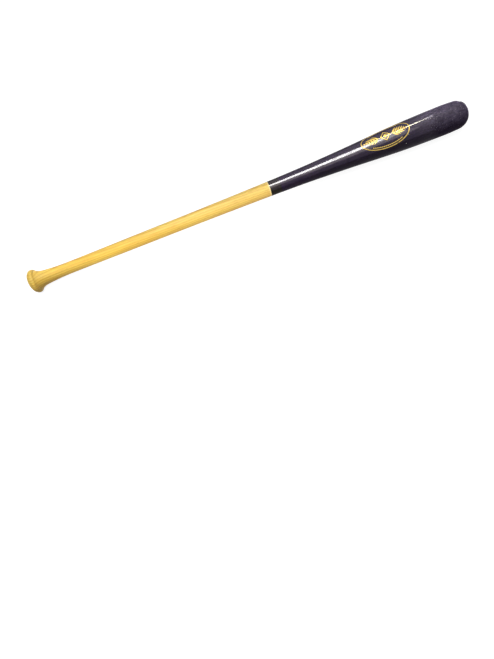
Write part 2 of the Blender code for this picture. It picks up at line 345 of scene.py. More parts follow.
def woodMaterial(values, crease):
    material, tree, shader, where = newMaterial("lacquered wood", values["finish"])
    grain = useGroup(tree, woodGrain, {"Vector": where, "Ring Width": values["ringWidth"]})
    x = splitXyz(tree, where)[0]
    offCrease = math1(tree, 'ABSOLUTE', math1(tree, 'SUBTRACT', x, crease))
    width = values["bareWidth"]
    colour = layered(tree, values["colour"], [
        (ramp(tree, x, *values["paleReach"], smooth=False), values["pale"]),
        (grain["Streak"], values["streak"]),
        (times(tree, grain["Ring"], within(tree, grain["Year"], values["lateShares"])), values["late"]),
        (ramp(tree, grain["Figure"], *values["figureEdge"]), values["figure"]),
        (ramp(tree, grain["Fibre"], *values["fibreEdge"]), values["fibre"]),
        (grain["Pore"], values["pore"]),
        # painted shade along the knob's crease
        (ramp(tree, offCrease, values["creaseShadeWidth"], 0.0), values["crease"]),
        (ramp(tree, x, paintLine - width, paintLine - width / 2), values["bare"])])
    relief = math1(tree, 'SUBTRACT', times(tree, grain["Fibre"], values["fibreRelief"]), grain["Pore"])
    feedAll(tree, shader.inputs, {"Base Color": colour, "Normal": bump(tree, relief, values["relief"])})
    return material


# Band, barrel and foil

bandLacquer = {
    "finish": {"Roughness": 0.50, "Specular IOR Level": 0.03, "Coat Weight": 0.16,
               "Coat Roughness": 0.05},
    "colour": (0.006, 0.004, 0.001),
    "scratches": ((0.040, 0.036, 0.026), 0.12),
    "relief": 0.00001,
}


def bandMaterial(values):
    material, tree, shader, where = newMaterial("band lacquer", values["finish"])
    scratches = useGroup(tree, scuffs, {"Vector": where})["Scratches"]
    fibre = useGroup(tree, woodGrain, {"Vector": where})["Fibre"]
    feedAll(tree, shader.inputs, {
        "Base Color": layered(tree, values["colour"], [(scratches, values["scratches"])]),
        "Normal": bump(tree, fibre, values["relief"])})
    return material


barrelLacquer = {
    "finish": {"Specular IOR Level": 0.02, "Coat Roughness": 0.04},
    "colour": (0.008, 0.003, 0.017),
    "plum": ((0.034, 0.015, 0.018), 0.6),
    # real scuffs near the end, laid on more thickly on the top far side as painted sheen
    "scuffedAndSheen": ((0.162, 0.132, 0.206), 1.0),
    "lines": ((0.016, 0.008, 0.016), 0.6),
    "scratches": ((0.36, 0.33, 0.38), 1.0),
    "specks": ((0.36, 0.33, 0.38), 0.90),
    "chip": ((0.72, 0.66, 0.62), 1.0),
    "coarseMarks": {"Patch Size": 0.016, "Cover": 0.3},
    "fineMarks": {"Patch Size": 0.004, "Chip Size": 0.0012},
    "plumEdge": (0.45, 0.75),
    "lineEdge": (0.52, 0.66),
    "clouds": {"edge": (0.25, 0.75), "shares": (0.24, 0.76)},
    "flecks": {"edge": (0.35, 0.65), "shares": (0.60, 1.20)},
    "scratchShares": (0.02, 0.22),   # on sound lacquer, and where it is worn
    "scuffReach": (0.128, 0.060),    # from the barrel's end
    "dullReach": (0.095, 0.060),
    "raggedness": 0.05,              # of where the wear begins
    "paintedSheenSide": (0.0, 0.42, 0.907),       # the top far side, where the scuffed colour is laid thickest as painted sheen
    "sheenSideReach": (-0.009, 0.027),
    "sheenSideShares": (0.20, 1.00),
    "roughness": (0.52, 0.58),       # sound, and dulled
    "gloss": (0.16, 0.0),
    "patchGloss": (1.0, 0.65),
    "dimples": (2.0, 1.6),           # coarse and fine, where it is dulled
    "fibreRelief": 0.012,
    "relief": 0.00008,
    # the first two are chips in the lacquer; the last three, in a row on top along the lacquer's highlight
    # line where the streak breaks up, are painted highlight
    "chipAndGlintPlaces": ((0.8060, -0.0143, 0.0229), (0.7995, -0.0244, 0.0109),
                   (0.8530, -0.0010, 0.0281), (0.8572, -0.0024, 0.0280), (0.8612, 0.0000, 0.0282)),
    "chipEdge": (0.0019, 0.00114),
    "chipRaggedness": 0.0012,
}


def barrelMaterial(values):
    material, tree, shader, where = newMaterial("barrel lacquer", values["finish"])
    coarse = useGroup(tree, scuffs, {"Vector": where, **values["coarseMarks"]})
    fine = useGroup(tree, scuffs, {"Vector": where, **values["fineMarks"]})
    fibre = useGroup(tree, woodGrain, {"Vector": where})["Fibre"]
    fromEnd = math1(tree, 'SUBTRACT', batLength, splitXyz(tree, where)[0])
    offMiddle = math1(tree, 'SUBTRACT', coarse["Mottle"], 0.5)
    ragged = math1(tree, 'ADD', fromEnd, times(tree, offMiddle, values["raggedness"]))
    dull = ramp(tree, ragged, *values["dullReach"])
    # painted sheen: the scuffed colour, lines, scratches and specks show most on the top far side, where the
    # lamps' sheen falls
    sheenSide = ramp(tree, vector1(tree, 'DOT_PRODUCT', where, values["paintedSheenSide"]), *values["sheenSideReach"])
    # worn is real wear towards the end, weighted by that painted sheen side
    worn = times(tree, ramp(tree, ragged, *values["scuffReach"]), within(tree, sheenSide, values["sheenSideShares"]))
    clouds, flecks = [
        within(tree, ramp(tree, mottle, *blotches["edge"]), blotches["shares"])
        for mottle, blotches in ((coarse["Mottle"], values["clouds"]), (fine["Mottle"], values["flecks"]))]
    layers = [
        (ramp(tree, fibre, *values["plumEdge"]), values["plum"]),
        (times(tree, worn, times(tree, clouds, flecks)), values["scuffedAndSheen"]),
        (times(tree, worn, ramp(tree, fibre, *values["lineEdge"])), values["lines"]),
        (times(tree, coarse["Scratches"], within(tree, worn, values["scratchShares"])),
         values["scratches"]),
        (times(tree, fine["Chips"], worn), values["specks"])]
    # pale chips, and painted highlight glints on the streak's line
    for place in values["chipAndGlintPlaces"]:
        away = math1(tree, 'ADD', vector1(tree, 'DISTANCE', where, place),
                     times(tree, coarse["Mottle"], values["chipRaggedness"]))
        layers.append((ramp(tree, away, *values["chipEdge"]), values["chip"]))
    dimples = math1(tree, 'ADD', times(tree, coarse["Mottle"], values["dimples"][0]),
                    times(tree, fine["Mottle"], values["dimples"][1]))
    relief = math1(tree, 'ADD', times(tree, fibre, values["fibreRelief"]), times(tree, dimples, dull))
    feedAll(tree, shader.inputs, {
        "Base Color": layered(tree, values["colour"], layers),
        "Roughness": within(tree, dull, values["roughness"]),
        "Coat Weight": times(tree, within(tree, dull, values["gloss"]),
                             within(tree, coarse["Patches"], values["patchGloss"])),
        "Normal": bump(tree, relief, values["relief"])})
    return material


goldFoil = {
    "finish": {"Specular IOR Level": 0.5},
    "bright": (0.88, 0.65, 0.17),
    "deep": (0.48, 0.30, 0.06),
    "worn": (0.10, 0.075, 0.05),
    "wornShare": 0.7,
    "marks": {"Patch Size": 0.004, "Chip Size": 0.002},
    "roughness": (0.28, 0.48),
    "relief": 0.00005,
}


def foilMaterial(values):
    material, tree, shader, where = newMaterial("gold foil", values["finish"])
    marks = useGroup(tree, scuffs, {"Vector": where, **values["marks"]})
    bare = times(tree, math1(tree, 'MAXIMUM', marks["Scratches"], marks["Chips"]), values["wornShare"])
    gold = mixColour(tree, marks["Mottle"], values["deep"], values["bright"])
    feedAll(tree, shader.inputs, {
        "Base Color": mixColour(tree, bare, gold, values["worn"]),
        "Metallic": math1(tree, 'SUBTRACT', 1.0, bare),
        "Roughness": within(tree, marks["Mottle"], values["roughness"]),
        "Normal": bump(tree, marks["Mottle"], values["relief"])})
    return material


# The outline is read from the frame: the rings of every face that looks outwards

reading = {
    "endFacing": 0.99,         # how squarely a face looks along the bat to be an end
    "outwardFacing": 0.02,     # how much a face looks away from the axis to be outside
    "near": 0.0001,            # in the same place
    "apart": 0.00005,          # rings closer than this are one
    "decimals": 6,
    "knobReach": 0.05,         # the knob and its crease are nearer the end than this
}


def outerRings(node, stopAt):
    rings = set()
    decimals = reading["decimals"]
    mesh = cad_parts[node].data
    for face in mesh.polygons:
        middle = face.center
        outward = Vector((0, middle.y, middle.z)).normalized().dot(face.normal)
        endFace = (abs(face.normal.x) > reading["endFacing"]
                   and min(middle.x, batLength - middle.x) < reading["near"])
        corners = [mesh.vertices[i].co for i in face.vertices]
        outside = outward > reading["outwardFacing"] or endFace
        if outside and max(corner.x for corner in corners) < stopAt:
            rings.update((round(corner.x, decimals), round(math.hypot(corner.y, corner.z), decimals))
                         for corner in corners)
    return rings


def measureOutline():
    rings = outerRings("billet", paintLine - reading["near"])
    rings |= outerRings("throat_band", math.inf) | outerRings("barrel_coat", math.inf)
    rings |= {(0.0, 0.0), (round(batLength, reading["decimals"]), 0.0)}
    half = batLength / 2
    ordered = sorted(rings, key=lambda ring: (ring[0], ring[1] if ring[0] < half else -ring[1]))
    return [ring for i, ring in enumerate(ordered)
            if i == 0 or math.dist(ring, ordered[i - 1]) > reading["apart"]]


def monotoneCubic(places, heights, place):
    # smooth through every point and never past one
    gaps = [b - a for a, b in zip(places, places[1:])]
    rises = [(b - a) / gap for a, b, gap in zip(heights, heights[1:], gaps)]
    slopes = [rises[0]]
    for i in range(1, len(gaps)):
        if rises[i - 1] * rises[i] > 0:
            before = 2 * gaps[i] + gaps[i - 1]
            after = gaps[i] + 2 * gaps[i - 1]
            slopes.append((before + after) / (before / rises[i - 1] + after / rises[i]))
        else:
            slopes.append(0.0)
    slopes.append(rises[-1])
    i = max(0, min(len(gaps) - 1, sum(1 for p in places[1:] if p < place)))
    t = (place - places[i]) / gaps[i]
    return ((2 * t**3 - 3 * t**2 + 1) * heights[i] + (t**3 - 2 * t**2 + t) * gaps[i] * slopes[i]
            + (3 * t**2 - 2 * t**3) * heights[i + 1] + (t**3 - t**2) * gaps[i] * slopes[i + 1])


def fineStretch(rings, step):
    # the same stretch of outline in even steps along its own length
    walked = [0.0]
    for a, b in zip(rings, rings[1:]):
        walked.append(walked[-1] + math.dist(a, b))
    count = max(1, math.ceil(walked[-1] / step))
    stretch = []
    for i in range(count + 1):
        along = walked[-1] * i / count
        stretch.append((monotoneCubic(walked, [ring[0] for ring in rings], along),
                        max(0.0, monotoneCubic(walked, [ring[1] for ring in rings], along))))
    return stretch


outline = measureOutline()
headings = [math.atan2(b[1] - a[1], b[0] - a[0]) for a, b in zip(outline, outline[1:])]
steepest = max((i for i in range(1, len(headings)) if outline[i][0] < reading["knobReach"]),
               key=lambda i: headings[i] - headings[i - 1])
crease = outline[steepest][0]
print("outline: %d rings, crease at %.1f mm" % (len(outline), crease * 1000))

turning = {
    "woodSides": 112,
    "lacquerSides": 160,
    "knobStep": 0.0008,
    "barrelStep": 0.0016,
    "lacquerDepth": 0.0005,
    "woodUnderLacquer": 0.0008,
    "woodUnderEnd": 0.0042,    # deeper there, clear of the notch
    "endStart": 0.032,
    "solidsGap": 0.0003,       # between the solids, closed here
    "paintGap": 0.00003,       # between the meshes
    "clearOfEnds": 0.0002,     # a ring this near a stretch's end is left out
    "clearOfPaint": 0.001,
    "hiddenEvery": 8,          # one ring in so many is kept in the hidden wood
    "insideEvery": 4,          # and inside the coat
    "weld": 0.00001,
    "sharpAngle": 35,
}


def radiusAt(distance):
    for a, b in zip(fineBody, fineBody[1:]):
        if a[0] <= distance <= b[0] and b[0] > a[0]:
            return a[1] + (b[1] - a[1]) * (distance - a[0]) / (b[0] - a[0])
    return 0.0


fineKnob = fineStretch(outline[:steepest + 1], turning["knobStep"])
fineBody = fineStretch(outline[steepest:], turning["barrelStep"])


def endTree(tree, geometry, finish, output):
    real = node1(tree, "GeometryNodeRealizeInstances", {"Geometry": geometry})
    feed(tree, output, node1(tree, "GeometryNodeSetMaterial", {"Geometry": real, "Material": finish}))
    return tree


def turningTree():
    # lays a grid over the outline's rings and the turns round the axis, then closes its seams
    tree, given, result = newTree("turning", "GeometryNodeTree", [
        ("Outline", "Geometry", None),
        ("Sides", "Int", 96),
        ("Weld", "Float", 0.00001),
        ("Finish", "Material", None),
    ], [("Turned", "Geometry")])
    counts = addNode(tree, "GeometryNodeAttributeDomainSize", {"Geometry": given["Outline"]})
    around = math1(tree, 'ADD', given["Sides"], 1.0)
    grid = node1(tree, "GeometryNodeMeshGrid", {
        "Vertices X": counts.outputs["Point Count"], "Vertices Y": around})
    index = node1(tree, "GeometryNodeInputIndex")
    ring = math1(tree, 'FLOOR', math1(tree, 'DIVIDE', math1(tree, 'ADD', index, 0.5), around))
    side = math1(tree, 'SUBTRACT', index, times(tree, ring, around))
    place = addNode(tree, "GeometryNodeSampleIndex", {
        "Geometry": given["Outline"], "Index": ring}, data_type='FLOAT_VECTOR', domain='POINT')
    feed(tree, place.inputs["Value"], node1(tree, "GeometryNodeInputPosition"))
    angle = times(tree, math1(tree, 'DIVIDE', side, given["Sides"]), -math.tau)
    turned = node1(tree, "ShaderNodeVectorRotate", {
        "Vector": place.outputs[0], "Angle": angle}, rotation_type='X_AXIS')
    moved = node1(tree, "GeometryNodeSetPosition", {"Geometry": grid, "Position": turned})
    welded = node1(tree, "GeometryNodeMergeByDistance", {"Geometry": moved, "Distance": given["Weld"]})
    faces = node1(tree, "GeometryNodeInputMeshEdgeNeighbors")
    loose = node1(tree, "FunctionNodeCompare", {"A": faces, "B": 0}, data_type='INT', operation='EQUAL')
    clean = node1(tree, "GeometryNodeDeleteGeometry", {
        "Geometry": welded, "Selection": loose}, domain='EDGE', mode='EDGE_FACE')
    smooth = node1(tree, "GeometryNodeSetShadeSmooth", {"Geometry": clean})
    return endTree(tree, smooth, given["Finish"], result["Turned"])


def runTree(piece, tree, inputs):
    # the tree's result, as a plain mesh, takes the place of the piece's own
    modifier = piece.modifiers.new(tree.name, 'NODES')
    modifier.node_group = tree
    for item in tree.interface.items_tree:
        if item.item_type == 'SOCKET' and item.in_out == 'INPUT' and item.name in inputs:
            modifier[item.identifier] = inputs[item.name]
    evaluated = piece.evaluated_get(bpy.context.evaluated_depsgraph_get())
    plain = bpy.data.meshes.new_from_object(evaluated)
    piece.modifiers.remove(modifier)
    piece.data = plain
    plain.name = piece.name
    plain.set_sharp_from_angle(angle=math.radians(turning["sharpAngle"]))


def newPiece(name, mesh):
    piece = bpy.data.objects.new(name, mesh)
    bpy.context.scene.collection.objects.link(piece)
    return piece


def chainMesh(name, points):
    mesh = bpy.data.meshes.new(name)
    mesh.from_pydata(points, [(i, i + 1) for i in range(len(points) - 1)], [])
    return mesh


def turnPiece(name, rings, sides, finish, tree):
    piece = newPiece(name, chainMesh(name + "_outline", [(x, 0.0, radius) for x, radius in rings]))
    runTree(piece, tree, {"Sides": sides, "Weld": turning["weld"], "Finish": finish})
    return piece


dings = {
    "from": 0.075,             # from the barrel's end
    "endMiddle": 0.025,        # to the place that the dents on the rounded end point at
    "spacing": 0.011,
    "density": 20000.0,
    "seed": 5,
    "reach": 0.0040,
    "depth": 0.00035,
    "smallest": 0.35,          # beside the largest
    "notchFromEnd": 0.0095,
    "notchTurn": 44,           # degrees from the top, towards the far side
    "notchReach": 0.0042,
    "notchDepth": 0.0026,
    "notchFloor": 0.5,         # the share of its reach that is full depth
    "notchRun": 0.85,          # 0 is round, and nearer 1 is longer round the bat
}


def dingsTree():
    # small dents scattered on the hitting end, and one deeper notch in a place of its own
    tree, given, result = newTree("dings", "GeometryNodeTree", [
        ("Body", "Geometry", None),
        ("From", "Float", 0.8),
        ("Spacing", "Float", 0.01),
        ("Density", "Float", 20000.0),
        ("Seed", "Int", 1),
        ("Reach", "Float", 0.003),
        ("Depth", "Float", 0.0003),
        ("Smallest", "Float", 0.35),
        ("End Middle", "Float", 0.9),
        ("Notch", "Vector", (0.0, 0.0, 0.0)),
        ("Notch Way", "Vector", (0.0, 1.0, 0.0)),
        ("Notch Run", "Float", 0.85),
        ("Notch Reach", "Float", 0.005),
        ("Notch Depth", "Float", 0.0005),
        ("Notch Floor", "Float", 0.5),
        ("Finish", "Material", None),
    ], [("Dinged", "Geometry")])
    place = node1(tree, "GeometryNodeInputPosition")
    normal = node1(tree, "GeometryNodeInputNormal")
    x = splitXyz(tree, place)[0]
    onAxis = joinXyz(tree, math1(tree, 'MINIMUM', x, given["End Middle"]), 0.0, 0.0)
    out = vector1(tree, 'NORMALIZE', vector1(tree, 'SUBTRACT', place, onAxis))
    outside = math1(tree, 'GREATER_THAN', vector1(tree, 'DOT_PRODUCT', normal, out), 0.0)
    chosen = times(tree, outside, math1(tree, 'GREATER_THAN', x, given["From"]))
    spots = node1(tree, "GeometryNodeDistributePointsOnFaces", {
        "Mesh": given["Body"], "Selection": chosen, "Distance Min": given["Spacing"],
        "Density Max": given["Density"], "Seed": given["Seed"]}, distribute_method='POISSON')
    nearest = node1(tree, "GeometryNodeSampleNearest", {"Geometry": spots})
    spot = addNode(tree, "GeometryNodeSampleIndex", {
        "Geometry": spots, "Index": nearest}, data_type='FLOAT_VECTOR', domain='POINT')
    feed(tree, spot.inputs["Value"], place)
    chance = addNode(tree, "FunctionNodeRandomValue", {
        "ID": nearest, "Seed": given["Seed"]}, data_type='FLOAT')
    feed(tree, chance.inputs[2], given["Smallest"])
    feed(tree, chance.inputs[3], 1.0)
    share = chance.outputs[1]
    away = vector1(tree, 'DISTANCE', place, spot.outputs[0])
    dent = times(tree, ramp(tree, away, times(tree, given["Reach"], share), 0.0),
                 times(tree, given["Depth"], share))
    fromNotch = vector1(tree, 'SUBTRACT', place, given["Notch"])
    run = vector1(tree, 'DOT_PRODUCT', fromNotch, given["Notch Way"])
    squared = math1(tree, 'SUBTRACT', vector1(tree, 'DOT_PRODUCT', fromNotch, fromNotch),
                    times(tree, times(tree, run, run), given["Notch Run"]))
    flat = times(tree, given["Notch Reach"], given["Notch Floor"])
    notch = times(tree, ramp(tree, math1(tree, 'SQRT', squared), given["Notch Reach"], flat),
                  given["Notch Depth"])
    inward = times(tree, math1(tree, 'ADD', dent, notch), -1.0)
    offset = vector1(tree, 'MULTIPLY', out, joinXyz(tree, inward, inward, inward))
    moved = node1(tree, "GeometryNodeSetPosition", {"Geometry": given["Body"], "Offset": offset})
    return endTree(tree, moved, given["Finish"], result["Dinged"])


def sunk(rings, depth):
    # moved square to the outline, into the wood
    moved = []
    for i, (x, radius) in enumerate(rings):
        a, b = rings[max(i - 1, 0)], rings[min(i + 1, len(rings) - 1)]
        length = math.dist(a, b)
        moved.append((x + depth * (b[1] - a[1]) / length,
                      max(0.0, radius - depth * (b[0] - a[0]) / length)))
    return moved


def thinned(rings, every):
    return [ring for i, ring in enumerate(rings[:-1]) if i % every == 0] + [rings[-1]]


def between(rings, start, end):
    clear = turning["clearOfEnds"]
    inside = [ring for ring in rings if start + clear < ring[0] < end - clear]
    return [(start, radiusAt(start))] + inside + [(end, radiusAt(end))]


turningGroup = turningTree()
woodFinish = woodMaterial(lacqueredWood, crease)
bandFinish = bandMaterial(bandLacquer)
barrelFinish = barrelMaterial(barrelLacquer)
foilFinish = foilMaterial(goldFoil)

woodEnd = paintLine - turning["solidsGap"]
handle = between(fineBody, crease, woodEnd)[1:]
hidden = thinned([ring for ring in fineBody if ring[0] > paintLine + turning["clearOfPaint"]],
                 turning["hiddenEvery"])
endStart = batLength - turning["endStart"]
core = (sunk([ring for ring in hidden if ring[0] < endStart], turning["woodUnderLacquer"])
        + sunk([ring for ring in hidden if ring[0] >= endStart], turning["woodUnderEnd"]))
wood = turnPiece("bat_wood", fineKnob + handle + core, turning["woodSides"], woodFinish, turningGroup)
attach(wood, "root")
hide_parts("billet")

depth = turning["lacquerDepth"]
bandOuter = between(fineBody, woodEnd + turning["paintGap"], bandEnd)
bandInner = [(x, radius - depth) for x, radius in (bandOuter[-1], bandOuter[0])]
band = turnPiece("band_lacquer", bandOuter + bandInner + bandOuter[:1],
                 turning["lacquerSides"], bandFinish, turningGroup)
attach(band, "root")
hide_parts("throat_band")

coatStart = (bandEnd + turning["paintGap"], radiusAt(bandEnd))
coatOuter = [coatStart] + [ring for ring in fineBody if ring[0] > bandEnd + turning["clearOfPaint"]]
coatInner = sunk(thinned(coatOuter, turning["insideEvery"]), depth)
coatInner[0] = (coatStart[0], coatStart[1] - depth)
coat = turnPiece("barrel_lacquer", coatOuter + coatInner[::-1] + coatOuter[:1],
                 turning["lacquerSides"], barrelFinish, turningGroup)
notchX, notchTurn = batLength - dings["notchFromEnd"], math.radians(dings["notchTurn"])
runTree(coat, dingsTree(), {
    "From": batLength - dings["from"], "End Middle": batLength - dings["endMiddle"],
    "Spacing": dings["spacing"], "Density": dings["density"], "Seed": dings["seed"],
    "Reach": dings["reach"], "Depth": dings["depth"], "Smallest": dings["smallest"],
    "Notch": (notchX, radiusAt(notchX) * math.sin(notchTurn), radiusAt(notchX) * math.cos(notchTurn)),
    "Notch Way": (0.0, math.cos(notchTurn), -math.sin(notchTurn)), "Notch Run": dings["notchRun"],
    "Notch Reach": dings["notchReach"], "Notch Depth": dings["notchDepth"],
    "Notch Floor": dings["notchFloor"], "Finish": barrelFinish})
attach(coat, "root")
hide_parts("barrel_coat")
print("turned pieces: %d, %d and %d faces" % tuple(len(p.data.polygons) for p in (wood, band, coat)))


# Label: gold foil laid on the lacquer. It is drawn flat, as chains of points along the bat and
# round it from the label's middle, each point with the half width of the foil there.

label = {
    "fromEnd": 0.1766,
    "length": 0.1004,
    "height": 0.0490,
    "ringWidth": 0.0015,
    "ringSteps": 180,
    "space": 0.0022,
    "diamondLine": 0.0016,
    "diamondShare": 0.46,
    "diamondSteps": 8,         # along each side, and each half of the core
    "coreShare": 0.5,
    "corePoint": 0.00002,      # half width at the core's two points
    "stemWidth": 0.0012,
    "stemDrawn": 0.8,          # of its width, clear of the leaves
    "stemSteps": 12,
    "leafPairs": 5,
    "leafAngle": 40,
    "leafStart": 0.4,          # of the way from one pair's place to the next
    "leafReach": 0.62,
    "leafSlimness": 0.25,
    "leafSwell": 0.75,         # below 1, the leaf is widest nearer its root
    "leafPoint": 0.00003,      # half width at a leaf's points
    "leafGap": 0.0007,
    "leafSteps": 14,
    "endLeafSlimness": 0.325,
    "beads": 17,
    "beadSteps": 12,
    "beadWidth": 0.0022,
    "threadWidth": 0.0007,
    "garlandTurn": 42,
    "acrossPoints": 7,         # from one edge of a stroke to the other
    "thickness": 0.00012,
    "crown": 0.00010,          # how much a stroke's middle stands above its edges
    "lift": 0.00010,
    "weld": 0.000002,
}

insideLength = label["length"] / 2 - label["ringWidth"]
insideHeight = label["height"] / 2 - label["ringWidth"]
garlandInset = label["space"] + label["beadWidth"] / 2
diamondHalf = label["diamondShare"] * insideHeight


def ringStroke():
    half = label["ringWidth"] / 2
    turns = [math.tau * i / label["ringSteps"] for i in range(label["ringSteps"])]
    points = [((insideLength + half) * math.cos(turn), (insideHeight + half) * math.sin(turn))
              for turn in turns]
    return [(points, [half] * len(points), True)]


def diamondStroke():
    half = label["diamondLine"] / 2
    reach = diamondHalf - half * math.sqrt(2)
    corners = [(reach, 0), (0, reach), (-reach, 0), (0, -reach)]
    steps = label["diamondSteps"]
    points, halves = [], []
    for a, b in zip(corners, corners[1:] + corners[:1]):
        for i in range(steps):
            points.append((a[0] + (b[0] - a[0]) * i / steps, a[1] + (b[1] - a[1]) * i / steps))
            halves.append(half * math.sqrt(2) if i == 0 else half)
    return [(points, halves, True)]


def coreStroke():
    reach = label["coreShare"] * (diamondHalf - label["diamondLine"] * math.sqrt(2))
    steps = label["diamondSteps"]
    places = [reach * (i / steps - 1) for i in range(2 * steps + 1)]
    return [([(x, 0.0) for x in places], [reach - abs(x) + label["corePoint"] for x in places], False)]


def garlandStroke(side):
    points, halves = [], []
    thread, bead = label["threadWidth"], label["beadWidth"]
    steps = label["beads"] * label["beadSteps"]
    for i in range(steps + 1):
        turn = math.pi / 2 + math.radians(label["garlandTurn"]) * (1 - 2 * i / steps)
        points.append(((insideLength - garlandInset) * math.cos(turn),
                       side * (insideHeight - garlandInset) * math.sin(turn)))
        swell = math.sin(math.pi * i / label["beadSteps"]) ** 2
        halves.append((thread + (bead - thread) * swell) / 2)
    return [(points, halves, False)]


def leafStroke(root, length, width, angle):
    shares = [i / label["leafSteps"] for i in range(label["leafSteps"] + 1)]
    points = [(root[0] + t * length * math.cos(angle), root[1] + t * length * math.sin(angle))
              for t in shares]
    halves = [max(label["leafPoint"], math.sin(math.pi * t ** label["leafSwell"]) * width / 2)
              for t in shares]
    return (points, halves, False)


def sprigStrokes(side):
    halfStem = label["stemWidth"] / 2
    start = diamondHalf + label["space"]
    pitch = (insideLength - label["space"] - start) / (label["leafPairs"] + 1)
    angle = math.radians(label["leafAngle"])
    steps = label["stemSteps"]
    stemEnd = start + pitch * label["leafPairs"]
    stem = [(start + (stemEnd - start) * i / steps, 0.0) for i in range(steps)]
    tip, tipHalves, _ = leafStroke((stemEnd, 0.0), pitch, label["endLeafSlimness"] * pitch, 0.0)
    drawn = halfStem * label["stemDrawn"]
    fading = [max(half, drawn * (1 - i / label["leafSteps"])) for i, half in enumerate(tipHalves)]
    strokes = [(stem + tip, [drawn] * steps + fading, False)]
    for pair in range(label["leafPairs"]):
        root = start + pitch * (pair + label["leafStart"])
        across = 1 - ((root + pitch / 2) / (insideLength - garlandInset)) ** 2
        free = ((insideHeight - garlandInset) * math.sqrt(max(0.0, across)) - label["beadWidth"] / 2
                - label["space"] - halfStem)
        length = label["leafReach"] * free / math.sin(angle)
        width = min(pitch * math.sin(angle) - label["leafGap"], label["leafSlimness"] * length)
        for way in (1, -1):
            strokes.append(leafStroke((root, way * halfStem), length, width, way * angle))
    return [([(side * x, y) for x, y in points], halves, closed) for points, halves, closed in strokes]


def foilTree():
    # strokes of varying width become thin crowned foil, which is then laid on the lacquer
    tree, given, result = newTree("foil", "GeometryNodeTree", [
        ("Strokes", "Geometry", None),
        ("Lacquer", "Object", None),
        ("Middle", "Float", 0.0),
        ("Round Radius", "Float", 0.02),
        ("Across Points", "Int", 7),
        ("Thickness", "Float", 0.0001),
        ("Crown", "Float", 0.0001),
        ("Lift", "Float", 0.0001),
        ("Weld", "Float", 0.000002),
        ("Finish", "Material", None),
    ], [("Foil", "Geometry")])
    lines = node1(tree, "GeometryNodeMeshToCurve", {"Mesh": given["Strokes"]})
    level = node1(tree, "GeometryNodeSetCurveNormal", {"Curve": lines}, mode='Z_UP')
    across = node1(tree, "GeometryNodeCurvePrimitiveLine", {"Start": (-1, 0, 0), "End": (1, 0, 0)})
    profile = node1(tree, "GeometryNodeResampleCurve", {"Curve": across, "Count": given["Across Points"]})
    place = node1(tree, "GeometryNodeInputPosition")
    x, y, height = splitXyz(tree, place)
    marked = node1(tree, "GeometryNodeStoreNamedAttribute", {
        "Geometry": profile, "Name": "side", "Value": x}, data_type='FLOAT', domain='POINT')
    half = node1(tree, "GeometryNodeInputNamedAttribute", {"Name": "halfWidth"}, data_type='FLOAT')
    flat = node1(tree, "GeometryNodeCurveToMesh", {
        "Curve": level, "Profile Curve": marked, "Scale": half})
    raised = addNode(tree, "GeometryNodeExtrudeMesh", {
        "Mesh": flat, "Offset": (0, 0, 1), "Offset Scale": given["Thickness"], "Individual": False})
    side = node1(tree, "GeometryNodeInputNamedAttribute", {"Name": "side"}, data_type='FLOAT')
    rise = times(tree, math1(tree, 'SUBTRACT', 1.0, times(tree, side, side)), given["Crown"])
    crowned = node1(tree, "GeometryNodeSetPosition", {
        "Geometry": raised.outputs[0], "Selection": raised.outputs["Top"],
        "Offset": joinXyz(tree, 0.0, 0.0, rise)})
    joined = tree.nodes.new("GeometryNodeJoinGeometry")
    feed(tree, joined.inputs[0], crowned)
    feed(tree, joined.inputs[0], node1(tree, "GeometryNodeFlipFaces", {"Mesh": flat}))
    closed = node1(tree, "GeometryNodeMergeByDistance", {
        "Geometry": joined.outputs[0], "Distance": given["Weld"]})
    turn = math1(tree, 'DIVIDE', y, given["Round Radius"])
    out = joinXyz(tree, 0.0, math1(tree, 'SINE', turn), math1(tree, 'COSINE', turn))
    onAxis = joinXyz(tree, math1(tree, 'ADD', x, given["Middle"]), 0.0, 0.0)
    clear = 0.1     # metres, well off the bat
    found = addNode(tree, "GeometryNodeRaycast", {
        "Target Geometry": addNode(tree, "GeometryNodeObjectInfo", {
            "Object": given["Lacquer"]}).outputs["Geometry"],
        "Source Position": vector1(tree, 'ADD', onAxis, vector1(tree, 'MULTIPLY', out, (clear,) * 3)),
        "Ray Direction": vector1(tree, 'MULTIPLY', out, (-1.0, -1.0, -1.0)), "Ray Length": 1.0})
    above = math1(tree, 'ADD', height, given["Lift"])
    moved = vector1(tree, 'ADD', found.outputs["Hit Position"],
                    vector1(tree, 'MULTIPLY', out, joinXyz(tree, above, above, above)))
    laid = node1(tree, "GeometryNodeSetPosition", {"Geometry": closed, "Position": moved})
    smooth = node1(tree, "GeometryNodeSetShadeSmooth", {"Geometry": laid})
    return endTree(tree, smooth, given["Finish"], result["Foil"])


def strokeMesh(name, strokes):
    points, edges, halves = [], [], []
    for chain, widths, closed in strokes:
        first = len(points)
        points += [(x, y, 0.0) for x, y in chain]
        halves += widths
        edges += [(i, i + 1) for i in range(first, len(points) - 1)]
        if closed:
            edges.append((len(points) - 1, first))
    mesh = bpy.data.meshes.new(name)
    mesh.from_pydata(points, edges, [])
    mesh.attributes.new("halfWidth", 'FLOAT', 'POINT').data.foreach_set("value", halves)
    return mesh


